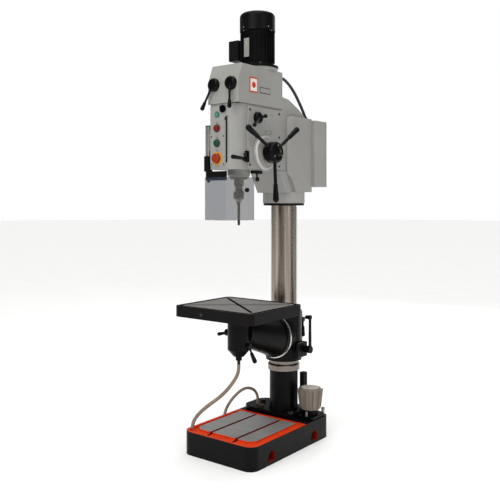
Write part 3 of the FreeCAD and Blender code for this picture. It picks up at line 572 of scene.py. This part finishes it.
def add_marks(work, blocks, axis, centre):
    """Blocks, each turned by its own angle about an axis through the centre."""
    for angle, low, high in blocks:
        before = set(work.verts)
        add_slab(work, low, high)
        turn = Matrix.Rotation(math.radians(angle), 3, axis)
        for vertex in set(work.verts) - before:
            vertex.co = turn @ vertex.co + Vector(centre)


# Hoses and the motor cable

TUBE_STEPS = 20
DRAIN_RADIUS = 0.0078
RETURN_ROUTE = [(-0.133, -0.030, 0.130), (-0.133, -0.030, 0.152), (-0.137, -0.037, 0.178),
                (-0.147, -0.056, 0.200), (-0.163, -0.089, 0.208), (-0.181, -0.124, 0.190),
                (-0.201, -0.156, 0.154), (-0.215, -0.178, 0.112), (-0.218, -0.186, 0.076),
                (-0.211, -0.190, 0.052)]
DRAIN_ROUTE = [(0, SPINDLE_Y, 0.392), (0, SPINDLE_Y, 0.366), (-0.007, -0.349, 0.338),
               (-0.022, -0.361, 0.308), (-0.043, -0.377, 0.274), (-0.070, -0.396, 0.243),
               (-0.100, -0.418, 0.216), (-0.130, -0.440, 0.187), (-0.152, -0.456, 0.158),
               (-0.165, -0.465, 0.130), (-0.167, -0.466, 0.106)]
CABLE_ROUTE = [(0.050, -0.115, 1.684), (0.050, -0.092, 1.684), (0.051, -0.062, 1.677),
               (0.051, -0.030, 1.661), (0.052, 0.002, 1.638), (0.052, 0.034, 1.608),
               (0.052, 0.064, 1.575), (0.050, 0.092, 1.546), (0.050, 0.112, 1.518)]


def route_curve(name, route):
    curve = bpy.data.curves.new(name, "CURVE")
    curve.dimensions = "3D"
    spline = curve.splines.new("NURBS")
    spline.points.add(len(route) - 1)
    for point, place in zip(spline.points, route):
        point.co = (*place, 1)
    spline.order_u = 3
    spline.use_endpoint_u = True
    spline.resolution_u = 12
    return curve


def route_line(name, route):
    """Points along the route's own spline."""
    curve = route_curve(name, route)
    carrier = bpy.data.objects.new(name, curve)
    line = bpy.data.meshes.new_from_object(carrier)
    points = [vertex.co.copy() for vertex in line.vertices]
    bpy.data.objects.remove(carrier)
    bpy.data.curves.remove(curve)
    bpy.data.meshes.remove(line)
    return points


def add_tube(work, points, radius):
    """Rings swept along the points without twist, with both ends closed."""
    ways = [(b - a).normalized() for a, b in zip(points, points[1:])]
    ways = [ways[0]] + [(a + b).normalized() for a, b in zip(ways, ways[1:])] + [ways[-1]]
    side = ways[0].orthogonal().normalized()
    rings = []
    for point, way in zip(points, ways):
        side = (side - way * side.dot(way)).normalized()
        other = way.cross(side)
        rings.append([work.verts.new(point + radius * (side * math.cos(angle)
                                                       + other * math.sin(angle)))
                      for angle in full_turn(TUBE_STEPS)])
    for near, far in zip(rings, rings[1:]):
        add_skin(work, near, far)
    work.faces.new(rings[0][::-1])
    work.faces.new(rings[-1])


def fixed_hose(name, route, radius, node, material):
    """A hose or cable with both ends on the frame."""
    curve = route_curve(name, route)
    curve.bevel_depth = radius
    curve.bevel_resolution = 8
    curve.use_fill_caps = True
    made = add_object(name, curve, material)
    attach(made, "frame")
    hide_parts(node)


def drain_hose():
    """The hose under the table, swept along its route."""
    points = route_line("drain_line", DRAIN_ROUTE)
    mesh = mesh_of(lambda work: add_tube(work, points, DRAIN_RADIUS))
    made = add_object("table_drain_hose", mesh, HOSE)
    mesh.shade_smooth()
    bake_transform(made)
    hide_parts("drain_hose")


fixed_hose("coolant_return_hose", RETURN_ROUTE, 0.0068, "return_hose", HOSE)
drain_hose()
fixed_hose("motor_power_cable", CABLE_ROUTE, 0.0070, "motor_cable", CABLE)


# Lights and floor

# Name, direction, strength, spread in degrees
SUNS = [("front_sun", (-0.25, 0.75, -0.8), 1.0, 60),
        ("top_sun", (0, 0, -1), 1.9, 80)]
# Name, place, target, side, watts
PANELS = [("key_light", (0.2, -4.2, 3.3), (0, -0.2, 1.0), 2.0, 50),
          ("fill_light", (3.6, -1.2, 2.0), (0, -0.2, 0.9), 2.4, 24),
          ("back_light", (-0.6, 3.6, 2.6), (0, 0, 1.0), 2.2, 40)]
AMBIENT = (0.22, 0.215, 0.21, 1)
FLOOR_RADIUS = 40.0


def lamp(name, kind, way, power):
    data = bpy.data.lights.new(name, kind)
    data.energy = power
    made = add_object(name, data)
    made.rotation_euler = Vector(way).to_track_quat("-Z", "Y").to_euler()
    return made


def studio():
    """Suns that fall evenly on the whole floor, soft panels, and a world that is seen as white."""
    for name, way, power, spread in SUNS:
        lamp(name, "SUN", way, power).data.angle = math.radians(spread)
    for name, place, target, side, power in PANELS:
        made = lamp(name, "AREA", Vector(target) - Vector(place), power)
        made.location = place
        made.data.shape = "SQUARE"
        made.data.size = side
    world = bpy.data.worlds.new("studio")
    world.use_nodes = True
    nodes, links = world.node_tree.nodes, world.node_tree.links
    background = nodes["Background"]
    seen = nodes.new("ShaderNodeBackground")
    seen.inputs["Color"].default_value = (1, 1, 1, 1)
    background.inputs["Color"].default_value = AMBIENT
    mix = nodes.new("ShaderNodeMixShader")
    path = nodes.new("ShaderNodeLightPath")
    links.new(path.outputs["Is Camera Ray"], mix.inputs["Fac"])
    links.new(background.outputs["Background"], mix.inputs[1])
    links.new(seen.outputs["Background"], mix.inputs[2])
    links.new(mix.outputs["Shader"], nodes["World Output"].inputs["Surface"])
    bpy.context.scene.world = world
    bpy.context.scene.view_settings.view_transform = "Standard"


def floor():
    surface = Surface("floor", (0.94, 0.94, 0.935), 0.7)
    surface.mottle((0.925, 0.925, 0.92), 3.0)
    disc = mesh_of(lambda work: bmesh.ops.create_circle(
        work, cap_ends=True, radius=FLOOR_RADIUS, segments=96))
    add_object("floor", disc, surface.material)


studio()
floor()


# Details on the head

def ring_profile(inner, outer, height, lip=0.0006):
    """A flat ring with its top edges broken."""
    return [(inner, 0), (outer, 0), (outer, height - lip), (outer - lip, height),
            (inner + lip, height), (inner, height - lip)]


def control_rims():
    """Rings, stop plate, screws and marks round the controls."""
    def rim(name, profile, x, heights, material):
        turnings(name, profile, [(x, PANEL_FACE, z) for z in heights], FRONT, "frame", material)

    rim("button_bezels", ring_profile(0.0142, 0.0175, 0.0035), PANEL_X, [1.361, 1.425], CHROME_BROWN_REFLECTION)
    rim("estop_plate", ring_profile(0.0212, 0.028, 0.0032, 0.0008), PANEL_X, [1.295], YELLOW)
    rim("lamp_bezel", ring_profile(0.0098, 0.0128, 0.003), PANEL_X, [1.484], CHROME_BROWN_REFLECTION)
    rim("switch_bezel", ring_profile(0.0134, 0.0168, 0.0028), -0.002, [1.507], BLACK_PLASTIC)
    dome = [(0, 0), (0.0034, 0), (0.0034, 0.0008), (0.0026, 0.0019), (0, 0.0023)]
    places = [(x, PANEL_FACE, z) for x in (-0.065, 0.003) for z in (1.27, 1.39)]
    turnings("panel_screws", dome, places, FRONT, "frame", DARK_STEEL, steps=20)
    marks = [((PANEL_X - 0.005, PANEL_FACE - 0.0005, z),
              (PANEL_X + 0.005, PANEL_FACE + 0.001, z + 0.0022))
             for z in (1.3835, 1.4475, 1.3275)]
    slabs("panel_marks", marks, 0.0002, "frame", INK)


def depth_scale():
    """Graduations beside the slot, longer every fifth."""
    start_x, start_z, pitch, count = 0.0225, 1.29, 0.006, 27
    ticks = []
    for step in range(count):
        z = start_z + step * pitch
        reach = 0.0062 if step % 5 == 0 else 0.0034
        ticks.append(((start_x, DEPTH_FACE - 0.0011, z), (start_x + reach, DEPTH_FACE, z + 0.0007)))
    slabs("depth_scale", ticks, 0.0, "frame", INK)


def cover_badge():
    """A plain red plate with a white field and a red disc, and a blank label beside it."""
    def plate(name, near, far, deep, proud, bevel, material):
        slabs(name, [((SIDE_FACE - deep, *near), (SIDE_FACE + proud, *far))], bevel, "frame",
              material)

    plate("badge_frame", (-0.376, 1.582), (-0.318, 1.648), 0.001, 0.0010, 0.0005, BADGE_RED)
    plate("badge_field", (-0.370, 1.588), (-0.324, 1.642), 0, 0.0016, 0.0004, BADGE_WHITE)
    disc = [(0, 0), (0.0135, 0), (0.0135, 0.0006), (0.0128, 0.001), (0, 0.001)]
    turnings("badge_disc", disc, [(SIDE_FACE + 0.0014, -0.347, 1.615)], RIGHT, "frame",
             BADGE_RED)
    plate("blank_label_edge", (-0.303, 1.586), (-0.225, 1.612), 0.001, 0.0007, 0.0003, INK)
    plate("blank_label", (-0.3005, 1.5885), (-0.2275, 1.6095), 0, 0.0011, 0.0003, GREY)


def feed_box_marks():
    """Dots and a frame, for the feed chart on the cover plate."""
    dot = [(0, 0), (0.002, 0), (0.002, 0.0004), (0.0012, 0.0007), (0, 0.0007)]
    spots = [(-0.222, 1.498), (-0.208, 1.493), (-0.262, 1.462), (-0.232, 1.448), (-0.222, 1.432)]
    turnings("feed_chart_dots", dot, [(SIDE_FACE - 0.001, *spot) for spot in spots], RIGHT,
             "frame", INK, steps=16)
    left, right, low, high, line = -0.262, -0.216, 1.408, 1.4237, 0.0012
    bars = [((left, low), (right, low + line)), ((left, high - line), (right, high)),
            ((left, low), (left + line, high)), ((right - line, low), (right, high))]
    x = SIDE_FACE - 0.0012
    slabs("feed_chart_frame", [((x, *near), (x + 0.0006, *far)) for near, far in bars], 0.0,
          "frame", INK)


def lock_bracket():
    """C-shaped stop beside the quill lock."""
    left, right, back, front, low, high, arm = 0.0765, 0.090, -0.384, -0.401, 1.278, 1.326, 0.008
    slabs("lock_stop", [((left, -0.391, low), (right, back, high)),
                        ((left, front, high - arm), (right, back, high)),
                        ((left, front, low), (right, back, low + arm))], 0.0012,
          "frame", DEEP_BLACK)


def head_underside():
    """The guard's rail and its clamping knob."""
    slabs("guard_rail", [((0.052, -0.330, 1.231), (0.070, -0.262, 1.2455))], 0.002,
          "frame", DEEP_BLACK)
    knob = [(0, 0), (0.004, 0), (0.004, 0.018), (0.0085, 0.02), (0.0095, 0.028), (0.0085, 0.036),
            (0, 0.038)]
    turnings("rail_knob", knob, [(0.066, -0.300, 1.232)], (0.25, -0.25, -0.94), "frame",
             BLACK_PLASTIC, steps=24)


def dial_marks():
    """Graduations round the feed dial's face, longer every fifth."""
    blocks = [(step * 6, (0.1038, -0.0004, 0.0565 if step % 5 == 0 else 0.0605),
               (0.1047, 0.0004, 0.0660)) for step in range(60)]
    mesh = mesh_of(lambda work: add_marks(work, blocks, "X", (0, *FEED)))
    piece("dial_graduations", mesh, "feed", INK, smooth=False)


def hub_face():
    """Cap and three set screws on the front of the feed hub."""
    cap = [(0, 0), (0.0185, 0), (0.0185, 0.0022), (0.016, 0.0042), (0.006, 0.0052), (0, 0.0052)]
    turnings("feed_hub_cap", cap, [(HUB_FACE, *FEED)], RIGHT, "feed", BLACK_PLASTIC)
    screw = [(0, 0), (0.0048, 0), (0.0048, 0.0014), (0.0026, 0.0014), (0.0024, 0.0003),
             (0, 0.0003)]
    places = [(HUB_FACE, y, z) for y, z in around(FEED, 0.031, (93, 213, 333))]
    turnings("feed_hub_screws", screw, places, RIGHT, "feed", ZINC, steps=24)


def lever_rings():
    """Collars where the feed grips meet their spokes."""
    for index, angle in enumerate((33, 153, 273)):
        way = Vector((0, *on_circle(1, math.radians(angle))))
        at = Vector((0.143, *FEED)) + way * 0.1385
        turnings("grip_collar_%d" % index, ring_profile(0.0076, 0.0105, 0.0045), [at], way,
                 "feed", BLACK_PLASTIC, steps=32)


# Details on the motor

def motor_details():
    """Nameplate, foot bolts, fan cover screws and the terminal box's lid."""
    slabs("motor_nameplate", [((-0.015, MOTOR_Y - 0.0812, 1.757),
                               (0.013, MOTOR_Y - 0.0785, 1.841))],
          0.0006, "frame", PLATE)
    slabs("nameplate_rules", [((-0.0115, MOTOR_Y - 0.0815, 1.768 + 0.009 * row),
                               (0.0095, MOTOR_Y - 0.0808, 1.7688 + 0.009 * row))
                              for row in range(8)],
          0.0, "frame", INK)
    bolt = [(0, 0), (0.0085, 0), (0.0085, 0.0016), (0.0068, 0.0018), (0.0068, 0.0075),
            (0.0056, 0.0086), (0, 0.0086)]
    places = [(x, y, 1.722) for x, y in around((0, MOTOR_Y), 0.087, (45, 135, 225, 315))]
    turnings("motor_bolts", bolt, places, UP, "frame", DARK_STEEL, steps=6)
    screw = [(0, 0), (0.0042, 0), (0.0042, 0.001), (0.003, 0.0024), (0, 0.0028)]
    for index, angle in enumerate((255, 345, 75, 165)):
        way = Vector((*on_circle(1, math.radians(angle)), 0))
        at = Vector((0, MOTOR_Y, 1.893)) + way * 0.0806
        turnings("fan_cover_screw_%d" % index, screw, [at], way, "frame", CHROME_BROWN_REFLECTION,
                 steps=20)
    lid = [((-0.1372, MOTOR_Y - 0.040, 1.760), (-0.1355, MOTOR_Y + 0.036, 1.846))]
    slabs("terminal_box_lid", lid, 0.0007, "frame", BOX_PLASTIC)


# Details on the base and table

def pump_details():
    """Cap painted lighter as a highlight on the pump's top, with its screws, and black blocks under
    the pump as painted shade in its vents.
    """
    cap = [(0, 0), (0.041, 0), (0.041, 0.0012), (0.034, 0.0028), (0, 0.0034)]
    # The cap's lighter colour is a painted highlight on the pump's top.
    turnings("pump_cap", cap, [(PUMP_X, PUMP_Y, 0.238)], UP, "frame", PUMP_TOP_HIGHLIGHT)
    screw = [(0, 0), (0.0028, 0), (0.0028, 0.001), (0.0016, 0.002), (0, 0.002)]
    places = [(x, y, 0.2408) for x, y in around((PUMP_X, PUMP_Y), 0.027, (30, 150, 270))]
    turnings("pump_cap_screws", screw, places, UP, "frame", ZINC, steps=16)
    # Black blocks stand in for the shade inside the vent openings: painted shade.
    low, high, half = 0.119, 0.131, 0.002
    vents = [((x - half, y - half, low), (x + half, y + half, high))
             for x, y in around((PUMP_X, PUMP_Y), 0.0362, range(15, 375, 30))]
    slabs("pump_vent_shade_blocks", vents, 0.0004, "frame", DEEP_BLACK)


def table_details():
    """Plug in the front edge of the table."""
    plug = [(0, 0), (0.0075, 0), (0.0075, 0.001), (0.005, 0.0022), (0, 0.0024)]
    turnings("table_plug", plug, [(-0.055, -0.533, 0.628)], FRONT, "table", DARK_STEEL,
             steps=24)


def tilt_marks():
    """Graduations on both sides of the band round the tilt joint, longer every fifth."""
    near_y = -0.0910
    blocks = [(side + step * 3, (0.1030, near_y, -0.0003),
               (0.1038, near_y + (0.0075 if step % 5 == 0 else 0.0045), 0.0003))
              for step in range(-15, 16) for side in (0, 180)]
    mesh = mesh_of(lambda work: add_marks(work, blocks, "Y", (0, 0, TILT_Z)))
    piece("tilt_graduations", mesh, "carriage", INK, smooth=False)


control_rims()
depth_scale()
cover_badge()
feed_box_marks()
lock_bracket()
head_underside()
dial_marks()
hub_face()
lever_rings()
motor_details()
pump_details()
table_details()
tilt_marks()
